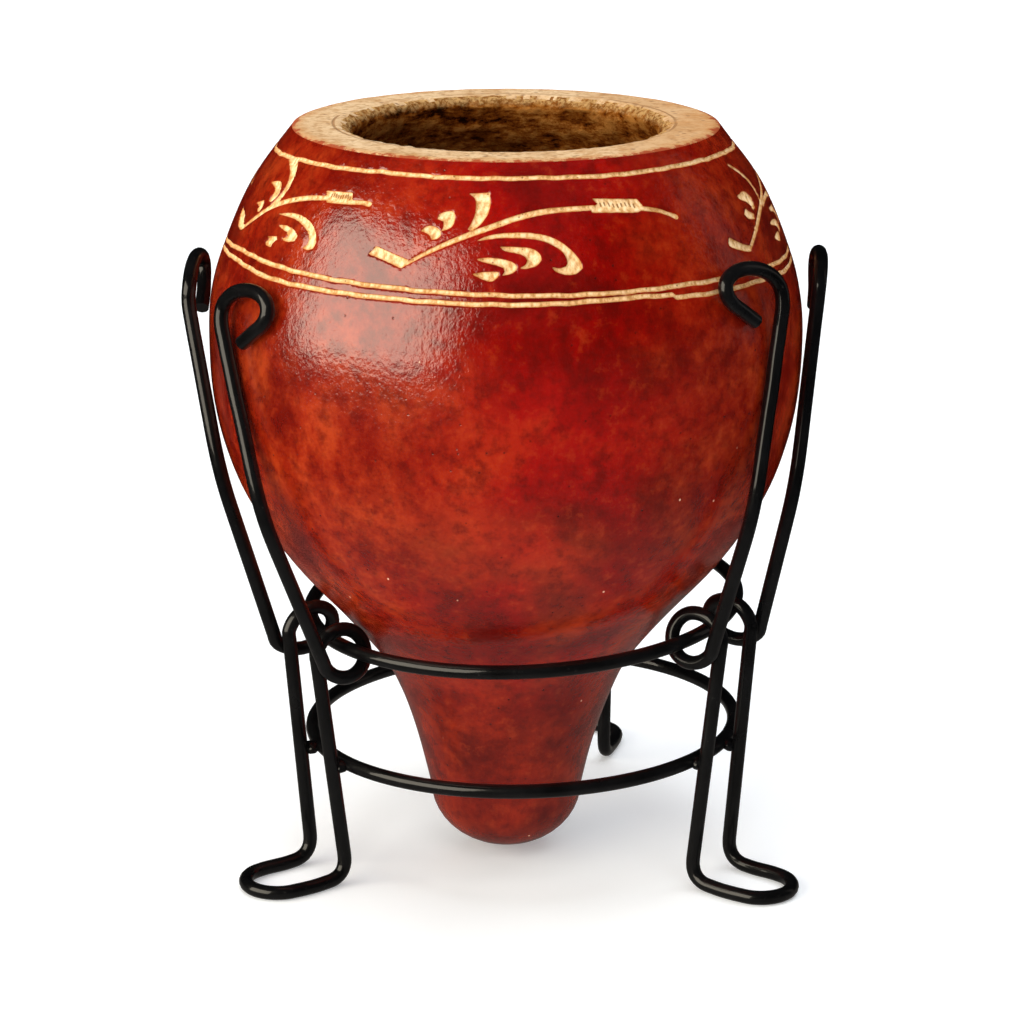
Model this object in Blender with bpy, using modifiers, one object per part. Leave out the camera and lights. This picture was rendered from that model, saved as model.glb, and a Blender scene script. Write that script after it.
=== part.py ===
"""Mate gourd cup standing in a holder of bent wire.

The gourd is one turned shell: a lacquered belly with a narrow neck below it, cut open
and flat at the top. Two wire rings and three legs hold it. Each leg is one wire that
starts as a curl on the belly, comes down as an arm, wraps once round the upper ring,
turns round as a foot on the table and goes back up the same way.

Sizes are in millimetres and turned into metres where the mesh is made. The gourd's
axis is x = y = 0 while the shapes are worked out. At the end the root empty moves
everything so that the middle of the footprint is the origin.
"""

import math

import bpy
import numpy as np
from mathutils import Vector

MM = 0.001

# Gourd: outer radius at heights above the table, from the neck up to the cut rim.
GOURD_STATIONS = ((11.0, 12.0), (20.0, 14.1), (28.0, 16.9), (34.0, 20.0), (42.0, 26.4),
                  (50.0, 33.5), (58.0, 38.9), (66.0, 42.6), (75.0, 44.8), (84.0, 45.4),
                  (92.0, 44.9), (99.5, 42.7), (108.5, 38.6), (117.4, 32.0))
TIP_HEIGHT = 1.1
MOUTH_RADIUS = 23.4
MOUTH_CHAMFER = 1.6
WALL = 7.0
CAVITY_FLOOR = 34.0
GROOVES = (114.9, 100.3, 98.3)
GROOVE_WIDTH = 1.0
GROOVE_DEPTH = 0.4
GOURD_STEPS = 56

# Stand: all of it is one gauge of wire.
WIRE_RADIUS = 1.1
CLEARANCE = 0.3
STAND_CENTRE = (2.7, 4.8)
RING_RADIUS = 33.8
UPPER_RING = {"height": 40.5, "lean_x": 2.5, "lean_y": 1.2}
LOWER_RING = {"height": 20.1, "lean_x": 1.2, "lean_y": -1.0}
RING_SEGMENTS = 48

# Leg: distances from the stand's axis, and the wires' offsets from the leg's middle.
FOOT_RADIUS = 34.5
FOOT_LENGTH = 14.5
FOOT_HALF_WIDTH = 5.15
FOOT_BEND = 4.0
LEG_HALF_WIDTH = 4.95
EYE_SIDESTEP = 2.65
EYE_CENTRE = 34.1
EYE_TURN = 339.0
ARM_BEND = 6.0

# Curl at the top of an arm: a leaning ellipse drawn on the gourd's skin, with a tail.
CURL_HALF_LENGTH = 5.8
CURL_HALF_HEIGHT = 3.2
CURL_LEAN = 13.0
CURL_SWEEP = (180.0, -60.0)
CURL_START = 1.2
CURL_TAIL = 4.0

# Each side of a leg. Eye: radius, how much wider the turn begins and ends, and how far
# it sits above the ring. Bend: azimuth, height and gap to the skin. Top: the same, with
# the gap at the tip of the curl and how far the curl leans out in 10 mm of height.
LEGS = (
    {"name": "leg_left", "azimuth": -152.0, "toe": 7.5, "reach": 0.1, "sides": {
        -1: {"eye": (3.5, 0.9, 2.3, 0.3), "bend": (-163.9, 65.9, 1.4),
             "top": (-173.0, 90.5, 2.2, 0.3, 0.8)},
        1: {"eye": (3.4, 0.9, 0.8, -0.3), "bend": (-140.2, 64.5, 3.2),
            "top": (-152.7, 91.5, 1.0, 0.3, 0.0)}}},
    {"name": "leg_right", "azimuth": -31.5, "toe": -6.0, "reach": -0.3, "sides": {
        -1: {"eye": (3.5, 0.9, 0.8, 0.15), "bend": (-38.1, 64.9, 2.8),
             "top": (-30.9, 95.2, 1.7, 0.3, 0.0)},
        1: {"eye": (3.45, 0.9, 1.2, -0.45), "bend": (-17.0, 64.5, 2.5),
            "top": (-10.4, 91.5, 1.5, 1.2, 2.6)}}},
    {"name": "leg_back", "azimuth": 75.0, "toe": 0.0, "reach": 0.0, "sides": {
        -1: {"eye": (3.45, 0.9, 1.0, 0.0), "bend": (67.0, 62.5, 3.4),
             "top": (63.0, 91.0, 1.2, 0.3, 0.0)},
        1: {"eye": (3.45, 0.9, 1.0, -0.2), "bend": (82.5, 62.5, 3.4),
            "top": (87.0, 91.0, 1.2, 0.3, 0.0)}}},
)


def through(stations, per_span):
    """Points of a smooth curve through the stations (Catmull-Rom)."""
    p = np.array(stations, float)
    p = np.vstack([2 * p[0] - p[1], p, 2 * p[-1] - p[-2]])
    t = np.linspace(0, 1, per_span, endpoint=False)[:, None]
    spans = []
    for a, b, c, d in zip(p, p[1:], p[2:], p[3:]):
        spans.append(0.5 * (2 * b + (c - a) * t + (2 * a - 5 * b + 4 * c - d) * t**2
                            + (3 * b - a - 3 * c + d) * t**3))
    return np.vstack(spans + [p[-2:-1]])


SKIN = through(GOURD_STATIONS, 12)
NECK_HEIGHT, NECK_RADIUS = GOURD_STATIONS[0]
RIM_HEIGHT, RIM_RADIUS = GOURD_STATIONS[-1]


def skin_radius(height):
    """Outer radius of the gourd, with its rounded end below the neck."""
    if height < NECK_HEIGHT:
        drop = min(1.0, (NECK_HEIGHT - height) / (NECK_HEIGHT - TIP_HEIGHT))
        return NECK_RADIUS * math.sqrt(1 - drop**2)
    return float(np.interp(height, SKIN[:, 0], SKIN[:, 1]))


def gourd_profile():
    """Cross-section: up the cavity, over the rim, down the outside to the tip."""
    cavity_top = RIM_HEIGHT - MOUTH_CHAMFER - 3.0
    heights = np.linspace(CAVITY_FLOOR + 8, cavity_top, 10)
    inside = [(0.0, CAVITY_FLOOR), (8.0, CAVITY_FLOOR + 0.8), (13.5, CAVITY_FLOOR + 3.0)]
    for h in heights:
        near_mouth = max(0.0, (h - 96.0) / (cavity_top - 96.0))
        belly = skin_radius(h) - WALL
        inside.append((belly * (1 - near_mouth**2) + MOUTH_RADIUS * near_mouth**2, h))
    rim = [(MOUTH_RADIUS, RIM_HEIGHT - MOUTH_CHAMFER),
           (MOUTH_RADIUS + MOUTH_CHAMFER, RIM_HEIGHT), (RIM_RADIUS - 0.6, RIM_HEIGHT)]

    levels = list(np.linspace(RIM_HEIGHT - 0.6, NECK_HEIGHT, 25))
    for g in GROOVES:
        levels = [h for h in levels if abs(h - g) > GROOVE_WIDTH]
        levels += [g - GROOVE_WIDTH / 2, g, g + GROOVE_WIDTH / 2]
    outside = []
    for h in sorted(levels, reverse=True):
        cut = GROOVE_DEPTH if h in GROOVES else 0.0
        outside.append((skin_radius(h) - cut, h))
    end = []
    for angle in np.linspace(0, math.pi / 2, 6)[1:]:
        end.append((NECK_RADIUS * math.cos(angle),
                    NECK_HEIGHT - (NECK_HEIGHT - TIP_HEIGHT) * math.sin(angle)))
    end[-1] = (0.0, TIP_HEIGHT)
    return inside + rim + outside + end


def rounded(points, radius, steps=4):
    """A path with its inner corners rounded off."""
    path = [points[0]]
    for before, corner, after in zip(points, points[1:], points[2:]):
        start = corner + (before - corner).normalized() * radius
        stop = corner + (after - corner).normalized() * radius
        for i in range(steps + 1):
            t = i / steps
            path.append(start * (1 - t)**2 + corner * 2 * t * (1 - t) + stop * t**2)
    return path + [points[-1]]


def radius_off_skin(height, gap):
    """Distance from the axis to a wire's middle, square to the skin's slope."""
    slope = skin_radius(height + 0.5) - skin_radius(height - 0.5)
    return skin_radius(height) + (WIRE_RADIUS + gap) * math.hypot(1, slope)


def on_skin(azimuth, height, gap):
    """Where a wire's middle is when the wire stands off the gourd by the gap."""
    radius = radius_off_skin(height, gap)
    angle = math.radians(azimuth)
    return Vector((radius * math.cos(angle), radius * math.sin(angle), height))


def ring_height(ring, x, y):
    """Height of a leaning ring's plane at a place measured from the stand's axis."""
    return (ring["height"] + x * math.tan(math.radians(ring["lean_x"]))
            + y * math.tan(math.radians(ring["lean_y"])))


def beside_leg(leg, out, across, height):
    """A point given by its distance out along the leg and across it."""
    angle = math.radians(leg["azimuth"])
    c, s = math.cos(angle), math.sin(angle)
    out += leg["reach"]
    return Vector((STAND_CENTRE[0] + out * c - across * s,
                   STAND_CENTRE[1] + out * s + across * c, height))


def foot(leg, side, eye_height, eye_start):
    """Half of the foot on the table, its bend, and the wire up to the eye."""
    toe = math.radians(leg["toe"])
    half_turn = []
    for i in range(6):
        a = math.radians(90) * i / 5
        half_turn.append((FOOT_LENGTH - FOOT_HALF_WIDTH * (1 - math.cos(a)),
                          FOOT_HALF_WIDTH * math.sin(a)))
    half_turn.append((0.0, FOOT_HALF_WIDTH))
    flat = []
    for along, across in half_turn:
        across *= side
        flat.append(beside_leg(leg, FOOT_RADIUS + along * math.cos(toe) - across * math.sin(toe),
                               along * math.sin(toe) + across * math.cos(toe), WIRE_RADIUS))
    up = beside_leg(leg, EYE_CENTRE + eye_start, side * LEG_HALF_WIDTH, eye_height)
    bend = rounded([flat[-2], flat[-1], up], FOOT_BEND, 5)
    return flat[:-2] + bend[:-1]


def eye(leg, side, eye_height, radius, wide_start, wide_end):
    """One turn round the upper ring, stepping to the side as it closes."""
    turn = []
    for i in range(19):
        t = i / 18
        a = math.radians(EYE_TURN) * t
        reach = (radius + wide_start * max(0.0, 1 - t / 0.3)**2
                 + wide_end * max(0.0, (t - 0.7) / 0.3)**2)
        step = min(1.0, max(0.0, (t - 0.3) / 0.55))
        across = LEG_HALF_WIDTH + EYE_SIDESTEP * step * step * (3 - 2 * step)
        turn.append(beside_leg(leg, EYE_CENTRE + reach * math.cos(a), side * across,
                               eye_height + reach * math.sin(a)))
    return turn


def curl(side, azimuth, height, gap, end_gap, lean_out):
    """The arm's end: over the top of a leaning ellipse, then a straight tail."""
    lean = math.radians(CURL_LEAN)
    drawn = []
    for i in range(15):
        a = math.radians(CURL_SWEEP[0] + (CURL_SWEEP[1] - CURL_SWEEP[0]) * i / 14)
        x, y = CURL_HALF_LENGTH * math.cos(a), CURL_HALF_HEIGHT * math.sin(a)
        drawn.append(Vector((x * math.cos(lean) - y * math.sin(lean),
                             x * math.sin(lean) + y * math.cos(lean))))
    start = drawn[0] - Vector((0.0, CURL_START))
    drawn = [spot - start for spot in drawn]
    drawn.append(drawn[-1] + (drawn[-1] - drawn[-2]).normalized() * CURL_TAIL)
    path = []
    for i, spot in enumerate(drawn):
        t = i / (len(drawn) - 1)
        turned = side * math.degrees(spot.x / skin_radius(height + spot.y))
        path.append(on_skin(azimuth + turned, height + spot.y,
                            gap + (end_gap - gap) * t**2 + lean_out * spot.y / 10))
    return path


def half_leg(leg, side):
    """One side of a leg, from the middle of the foot to the tip of the curl."""
    half = leg["sides"][side]
    radius, wide_start, wide_end, lift = half["eye"]
    place = beside_leg(leg, EYE_CENTRE, 0.0, 0.0)
    eye_height = lift + ring_height(UPPER_RING, place.x - STAND_CENTRE[0],
                                    place.y - STAND_CENTRE[1])
    turn = eye(leg, side, eye_height, radius, wide_start, wide_end)
    tip = on_skin(*half["top"][:3])
    arm = rounded([turn[-1], on_skin(*half["bend"]), tip], ARM_BEND)
    straight = [arm[-2].lerp(tip, i / 6) for i in range(1, 6)]
    held = [clear_of_gourd(point) for point in arm[1:-1] + straight + curl(side, *half["top"])]
    return foot(leg, side, eye_height, radius + wide_start) + turn + held


def clear_of_gourd(point):
    """Push a point of a wire out to where the wire just clears the gourd."""
    least = radius_off_skin(point.z, CLEARANCE)
    radius = math.hypot(point.x, point.y)
    if radius >= least:
        return point
    return Vector((point.x * least / radius, point.y * least / radius, point.z))


def paint(obj, name, colour, roughness, coat):
    material = bpy.data.materials.new(name)
    material.use_nodes = True
    shader = material.node_tree.nodes["Principled BSDF"]
    shader.inputs["Base Color"].default_value = (*colour, 1)
    shader.inputs["Roughness"].default_value = roughness
    shader.inputs["Metallic"].default_value = 0.0
    shader.inputs["Coat Weight"].default_value = coat
    material.diffuse_color = (*colour, 1)
    obj.data.materials.append(material)


def smooth(mesh):
    for polygon in mesh.polygons:
        polygon.use_smooth = True


for old in list(bpy.data.objects):
    bpy.data.objects.remove(old, do_unlink=True)

parts = bpy.data.collections.new("mate_gourd_in_stand")
bpy.context.scene.collection.children.link(parts)
root = bpy.data.objects.new("mate_gourd_in_stand", None)
parts.objects.link(root)

# The gourd: its cross-section turned round the axis.
section = gourd_profile()
mesh = bpy.data.meshes.new("gourd")
mesh.from_pydata([(x * MM, 0, z * MM) for x, z in section],
                 [(i, i + 1) for i in range(len(section) - 1)], [])
gourd = bpy.data.objects.new("gourd", mesh)
parts.objects.link(gourd)
turning = gourd.modifiers.new("turn", "SCREW")
turning.axis = "Z"
turning.angle = math.tau
turning.steps = GOURD_STEPS
turning.render_steps = GOURD_STEPS
turning.use_merge_vertices = True
turning.merge_threshold = 0.00001
turning.use_smooth_shade = True
paint(gourd, "red_lacquer", (0.36, 0.022, 0.012), 0.28, 0.6)

# The two rings that tie the legs together.
for name, ring in (("ring_upper", UPPER_RING), ("ring_lower", LOWER_RING)):
    bpy.ops.mesh.primitive_torus_add(
        major_segments=RING_SEGMENTS, minor_segments=8,
        major_radius=RING_RADIUS * MM, minor_radius=WIRE_RADIUS * MM,
        location=(STAND_CENTRE[0] * MM, STAND_CENTRE[1] * MM, ring["height"] * MM),
        rotation=(math.radians(ring["lean_y"]), -math.radians(ring["lean_x"]), 0))
    hoop = bpy.context.object
    hoop.name = name
    hoop.data.name = name
    for holder in list(hoop.users_collection):
        holder.objects.unlink(hoop)
    parts.objects.link(hoop)
    smooth(hoop.data)
    paint(hoop, name + "_enamel", (0.012, 0.012, 0.013), 0.22, 0.4)

# The three legs, each one bent wire.
for leg in LEGS:
    way = half_leg(leg, -1)[::-1] + half_leg(leg, 1)[1:]
    wire = bpy.data.curves.new(leg["name"], "CURVE")
    wire.dimensions = "3D"
    wire.bevel_depth = WIRE_RADIUS * MM
    wire.bevel_resolution = 2
    wire.use_fill_caps = True
    spline = wire.splines.new("POLY")
    spline.points.add(len(way) - 1)
    for knot, point in zip(spline.points, way):
        knot.co = (*(point * MM), 1)
    spline.use_smooth = True
    bent = bpy.data.objects.new(leg["name"], wire)
    parts.objects.link(bent)
    paint(bent, leg["name"] + "_enamel", (0.012, 0.012, 0.013), 0.22, 0.4)

# Bring the middle of the footprint to the origin.
bpy.context.view_layer.update()
graph = bpy.context.evaluated_depsgraph_get()
corners = []
for obj in parts.objects:
    if obj.type in {"MESH", "CURVE"}:
        whole = obj.evaluated_get(graph)
        shape = whole.to_mesh()
        corners += [obj.matrix_world @ v.co for v in shape.vertices]
        whole.to_mesh_clear()
low = [min(c[i] for c in corners) for i in range(3)]
high = [max(c[i] for c in corners) for i in range(3)]
for obj in parts.objects:
    if obj is not root:
        obj.parent = root
root.location = (-(low[0] + high[0]) / 2, -(low[1] + high[1]) / 2, -low[2])
bpy.context.view_layer.update()
print("footprint", [round((b - a) / MM, 1) for a, b in zip(low, high)],
      "moved by", [round(v / MM, 2) for v in root.location])
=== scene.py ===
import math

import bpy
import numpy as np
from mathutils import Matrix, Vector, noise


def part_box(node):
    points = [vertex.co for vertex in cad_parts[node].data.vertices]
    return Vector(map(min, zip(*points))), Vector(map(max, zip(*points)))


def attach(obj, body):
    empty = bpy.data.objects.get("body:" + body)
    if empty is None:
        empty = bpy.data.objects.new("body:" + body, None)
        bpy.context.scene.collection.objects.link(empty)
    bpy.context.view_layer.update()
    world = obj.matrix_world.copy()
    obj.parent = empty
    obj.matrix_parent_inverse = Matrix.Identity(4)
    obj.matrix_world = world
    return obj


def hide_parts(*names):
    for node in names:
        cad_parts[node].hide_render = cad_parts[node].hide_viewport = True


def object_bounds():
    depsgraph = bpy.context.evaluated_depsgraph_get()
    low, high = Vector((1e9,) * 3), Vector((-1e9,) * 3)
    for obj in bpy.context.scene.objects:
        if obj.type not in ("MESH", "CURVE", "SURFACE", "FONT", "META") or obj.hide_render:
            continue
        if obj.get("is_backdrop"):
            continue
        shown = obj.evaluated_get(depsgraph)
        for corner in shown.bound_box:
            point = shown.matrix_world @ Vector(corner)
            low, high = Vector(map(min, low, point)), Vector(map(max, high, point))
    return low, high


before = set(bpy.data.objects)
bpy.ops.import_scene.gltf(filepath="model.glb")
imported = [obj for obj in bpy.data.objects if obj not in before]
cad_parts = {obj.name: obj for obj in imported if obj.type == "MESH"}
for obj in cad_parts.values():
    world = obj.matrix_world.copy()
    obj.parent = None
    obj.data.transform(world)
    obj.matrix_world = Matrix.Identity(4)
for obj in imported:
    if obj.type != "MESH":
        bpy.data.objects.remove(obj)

# %% [markdown]
# # A mate gourd in a wire stand
# A mate gourd is a dried calabash: a round red-lacquered belly that narrows to a neck and
# a tip. Its top is sawn off flat, its flesh is scraped out, and a vine is cut through the
# lacquer below the rim. It can't stand by itself, so a holder of bent black wire carries it.
# The imported frame gives the true sizes. Its box is kept, because the dressed model has to
# fill the same box. Its box is kept, to be printed beside the dressed model's box at the
# end.

MM = 0.001
box_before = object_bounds()
gourd_low, gourd_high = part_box("gourd")
AXIS = (Vector(gourd_low) + Vector(gourd_high)) / 2
AXIS.z = 0.0
print("gourd axis at", [round(v / MM, 2) for v in AXIS])

# %% [markdown]
# ## Camera, floor and light
# The object is seen from a little above, through a long lens. The lens, height and tilt were
# worked out from ellipses in the picture: the rim, the carved lines and the two wire rings.
# The floor is a white sheet that glows as well, which is painted light: its glow is stronger
# further from the gourd, and reflections see only a faint warm glow near the gourd in
# place of the floor. It fills the whole background, because the camera looks down on it.

# %% Camera
LENS = 112.14
CAMERA_OFF_AXIS = Vector((0.9, -477.4, 199.2))
CAMERA_TILT = 73.30

bpy.ops.object.select_all(action="DESELECT")
bpy.ops.object.camera_add(location=AXIS + CAMERA_OFF_AXIS * MM,
                          rotation=(math.radians(CAMERA_TILT), 0, 0))
camera = bpy.context.object
camera.name = "camera"
camera.data.lens = LENS
camera.data.sensor_width = 36.0
camera.data.clip_start = 0.01
camera.data.clip_end = 50.0
bpy.context.scene.camera = camera
print("camera", [round(v, 3) for v in camera.location])

# %% [markdown]
# The light comes from four places. A broad window at the front left makes the soft patch
# on the lacquer, a wide sheet overhead lights the rim and the floor, a smaller sheet in
# front fills the shadows, and a dim card on the right gives the dark side an edge. Lacquer
# mirrors whatever stands around it. So the two sheets give light but aren't mirrored, which
# keeps the red deep in the middle.

# %% Lights
def soft_light(name, azimuth, elevation, distance, width, height, power, colour=(1, 1, 1),
               mirrored=True):
    """A rectangular light that faces the middle of the gourd."""
    a, e = math.radians(azimuth), math.radians(elevation)
    away = Vector((math.sin(a) * math.cos(e), -math.cos(a) * math.cos(e), math.sin(e)))
    target = AXIS + Vector((0, 0, 0.06))
    bpy.ops.object.light_add(type="AREA", location=target + away * distance)
    lamp = bpy.context.object
    lamp.name = name
    lamp.rotation_euler = away.to_track_quat("Z", "Y").to_euler()
    lamp.data.shape = "RECTANGLE"
    lamp.data.size, lamp.data.size_y = width, height
    lamp.data.energy = power
    lamp.data.color = colour
    lamp.visible_glossy = mirrored
    return lamp


soft_light("window_left", -56, 19, 1.0, 1.12, 0.85, 13.5, (1.0, 0.91, 0.74))
soft_light("sheet_overhead", 150, 80, 1.1, 1.6, 1.5, 15.5, mirrored=False)
soft_light("sheet_front", 10, 36, 1.2, 0.9, 0.7, 4.0, mirrored=False)
soft_light("card_right", 104, 14, 0.9, 0.20, 0.8, 0.12, (1.0, 0.9, 0.8))

# %% World and view
def seen_directly(tree, hidden, shown, kind="Is Camera Ray"):
    """One shader for the rays of a kind and another for all the rest."""
    ray = tree.nodes.new("ShaderNodeLightPath")
    chooser = tree.nodes.new("ShaderNodeMixShader")
    tree.links.new(ray.outputs[kind], chooser.inputs["Fac"])
    tree.links.new(hidden, chooser.inputs[1])
    tree.links.new(shown, chooser.inputs[2])
    return chooser.outputs["Shader"]


def backdrop(tree, colour, strength):
    glow = tree.nodes.new("ShaderNodeBackground")
    glow.inputs["Color"].default_value = (*colour, 1)
    glow.inputs["Strength"].default_value = strength
    return glow.outputs["Background"]


world = bpy.data.worlds.new("studio")
bpy.context.scene.world = world
world.use_nodes = True
tree = world.node_tree
tree.nodes.clear()
output = tree.nodes.new("ShaderNodeOutputWorld")
fill = seen_directly(tree, backdrop(tree, (0.95, 0.96, 1.0), 0.16),
                     backdrop(tree, (0.6, 0.62, 0.7), 0.004), "Is Glossy Ray")
tree.links.new(seen_directly(tree, fill, backdrop(tree, (1, 1, 1), 1.0)),
               output.inputs["Surface"])
bpy.context.scene.view_settings.view_transform = "Standard"
print("world ready")

# %% [markdown]
# ## Helpers for materials
# Each finish is a small tree of nodes. These helpers add a node, give it its values and
# join it to the one before, so that a finish reads from top to bottom.

# %% Material helpers
class Finish:
    """A material while it is being built."""

    def __init__(self, name):
        self.material = bpy.data.materials.new(name)
        self.material.use_nodes = True
        self.nodes = self.material.node_tree.nodes
        self.links = self.material.node_tree.links
        self.shader = self.nodes["Principled BSDF"]
        self.place = self.nodes.new("ShaderNodeTexCoord").outputs["Object"]

    def add(self, kind, settings=None, **inputs):
        """A node with its settings; an input is a value or another node's output."""
        node = self.nodes.new("ShaderNode" + kind)
        for key, value in (settings or {}).items():
            setattr(node, key, value)
        for key, value in inputs.items():
            socket = node.inputs[int(key[1:])] if key[0] == "_" else node.inputs[key]
            if hasattr(value, "is_output"):
                self.links.new(value, socket)
            else:
                socket.default_value = value
        return node

    def noise(self, scale, detail=3.0, roughness=0.5, at=None, distortion=0.0):
        """Cloudy pattern from 0 to 1; the scale is in cycles a metre."""
        return self.add("TexNoise", Vector=at or self.place, Scale=scale, Detail=detail,
                        Roughness=roughness, Distortion=distortion).outputs["Fac"]

    def stretched(self, x, y, z):
        return self.add("Mapping", Vector=self.place, Scale=(x, y, z)).outputs["Vector"]

    def along(self, axis):
        """One coordinate of the place, in metres."""
        return self.add("SeparateXYZ", Vector=self.place).outputs[axis]

    def off_axis(self, x=0.0, y=0.0):
        """Distance from an upright line beside the gourd's axis, in metres."""
        flat = self.add("Mapping", Vector=self.place, Scale=(1, 1, 0),
                        Location=(-AXIS.x - x * MM, -AXIS.y - y * MM, 0)).outputs["Vector"]
        return self.add("VectorMath", {"operation": "LENGTH"}, _0=flat).outputs["Value"]

    def ramp(self, source, *stops):
        """Colours or greys at positions of the source value."""
        node = self.add("ValToRGB", Fac=source)
        marks = node.color_ramp.elements
        while len(marks) < len(stops):
            marks.new(0.5)
        for mark, (position, colour) in zip(marks, stops):
            mark.position = position
            mark.color = (*(colour if hasattr(colour, "__len__") else (colour,) * 3), 1)
        return node.outputs["Color"]

    def range(self, source, low, high, to_low=0.0, to_high=1.0):
        return self.add("MapRange", Value=source, _1=low, _2=high, _3=to_low,
                        _4=to_high).outputs["Result"]

    def mix(self, amount, first, second, blend="MIX"):
        node = self.add("Mix", {"data_type": "RGBA", "blend_type": blend})
        for value, index in ((amount, 0), (first, 6), (second, 7)):
            if hasattr(value, "is_output"):
                self.links.new(value, node.inputs[index])
            elif index == 0:
                node.inputs[index].default_value = value
            else:
                node.inputs[index].default_value = (*value, 1)
        return node.outputs[2]

    def maths(self, operation, first, second=0.0):
        return self.add("Math", {"operation": operation}, _0=first, _1=second).outputs["Value"]

    def plus(self, first, second):
        return self.maths("ADD", first, second)

    def minus(self, first, second):
        return self.maths("SUBTRACT", first, second)

    def times(self, first, second):
        return self.maths("MULTIPLY", first, second)

    def wobble(self, source, amount):
        """A pattern of 0 to 1 made to swing about zero."""
        return self.times(self.minus(source, 0.5), amount)

    def spots(self, scale, wide, narrow, patches, at=None):
        """Round spots inside patches; the spots fade from a wide to a narrow radius."""
        cells = self.add("TexVoronoi", Vector=at or self.place, Scale=scale)
        patch_scale, detail, none, full = patches
        return self.times(self.range(cells.outputs["Distance"], wide, narrow),
                          self.range(self.noise(patch_scale, detail), none, full))

    def attribute(self, name):
        return self.add("Attribute", {"attribute_name": name}).outputs["Fac"]

    def bump(self, height, distance, strength=1.0, over=None):
        inputs = {"Height": height, "Distance": distance, "Strength": strength}
        if over is not None:
            inputs["Normal"] = over
        return self.add("Bump", None, **inputs).outputs["Normal"]

    def set(self, **values):
        """Values or links of the shader; underscores stand for the spaces in a name."""
        for key, value in values.items():
            socket = self.shader.inputs[key.replace("_", " ")]
            if hasattr(value, "is_output"):
                self.links.new(value, socket)
            else:
                socket.default_value = value
        return self.material


# %% Floor
paper = Finish("white_sheet")
grain = paper.noise(60, 2)
# Painted glow: the floor emits light of its own, weakly under the gourd and more further out.
paper.set(Base_Color=paper.ramp(grain, (0.3, (0.81, 0.85, 0.89)), (0.7, (0.85, 0.89, 0.93))),
          Roughness=paper.range(grain, 0.3, 0.7, 0.75, 0.9), Specular_IOR_Level=0.0,
          Emission_Color=(1, 1, 1, 1), Emission_Strength=paper.range(paper.off_axis(), 0.3, 1.5, 0.25, 0.9))
# Painted reflection: reflections see a faint warm glow near the gourd instead of the floor.
reflected_glow_near_gourd = paper.range(paper.off_axis(), 0.16, 0.06, 0.0, 0.15)
mirrored = paper.add("Emission", None, Color=(1.0, 0.93, 0.85, 1), Strength=reflected_glow_near_gourd)
paper.links.new(seen_directly(paper.material.node_tree, paper.shader.outputs["BSDF"],
                              mirrored.outputs["Emission"], "Is Glossy Ray"),
                paper.nodes["Material Output"].inputs["Surface"])

bpy.ops.mesh.primitive_circle_add(vertices=96, radius=4.0, fill_type="NGON", location=AXIS)
floor = bpy.context.object
floor.name = "floor"
floor.data.materials.append(paper.material)
bpy.ops.object.transform_apply(location=True)
floor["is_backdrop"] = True
print("floor", [round(v, 2) for v in floor.dimensions])

# %% [markdown]
# ## The shape of the gourd
# A gourd grows round, so its outline turned about an axis is its whole shape. The outline is
# a smooth curve through the radii measured at 14 heights, the same as in the CAD solid.

# %% Outline of the gourd
STATIONS = ((11.0, 12.0), (20.0, 14.1), (28.0, 16.9), (34.0, 20.0), (42.0, 26.4),
            (50.0, 33.5), (58.0, 38.9), (66.0, 42.6), (75.0, 44.8), (84.0, 45.4),
            (92.0, 44.9), (99.5, 42.7), (108.5, 38.6), (117.4, 32.0))
TIP_HEIGHT = 1.1
MOUTH_RADIUS = 23.4
MOUTH_CHAMFER = 1.6
WALL = 7.0
CAVITY_FLOOR = 34.0
NECK_HEIGHT, NECK_RADIUS = STATIONS[0]
RIM_HEIGHT, RIM_RADIUS = STATIONS[-1]


def between(a, b, c, d, steps):
    """Points of a smooth curve from b almost to c; a and d are their neighbours."""
    t = np.linspace(0, 1, steps, endpoint=False)[:, None]
    return 0.5 * (2 * b + (c - a) * t + (2 * a - 5 * b + 4 * c - d) * t**2
                  + (3 * b - a - 3 * c + d) * t**3)


def through(points, per_span):
    """Points of a smooth curve through the given ones, which are evenly strung."""
    p = np.array(points, float)
    p = np.vstack([2 * p[0] - p[1], p, 2 * p[-1] - p[-2]])
    spans = [between(a, b, c, d, per_span) for a, b, c, d in zip(p, p[1:], p[2:], p[3:])]
    return np.vstack(spans + [p[-2:-1]])


SKIN = through(STATIONS, 24)


def skin_radius(height):
    """Outer radius at a height, for a number or an array of them."""
    drop = np.clip((NECK_HEIGHT - np.asarray(height)) / (NECK_HEIGHT - TIP_HEIGHT), 0, 1)
    return np.where(drop > 0, NECK_RADIUS * np.sqrt(1 - drop**2),
                    np.interp(height, SKIN[:, 0], SKIN[:, 1]))


down = SKIN[::-1]
RUN = np.concatenate([[0], np.cumsum(np.hypot(*np.diff(down, axis=0).T))])


def height_at(run):
    """Height of the point that lies this far below the rim, measured along the skin."""
    return np.interp(run, RUN, down[:, 0])


def run_at(height):
    return np.interp(-np.asarray(height), -down[:, 0], RUN)


print("skin from rim to neck: %.0f mm" % RUN[-1])

# %% [markdown]
# The mesh could be a stack of rings, but a turned shape is quicker to make as a potter
# would: draw half of the section, then spin it. The section starts as one vertex, and each
# extrusion adds the next point. The rows are closer together where the vine is carved.

# %% Section of the shell
CARVED_RUN = 26.0


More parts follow.
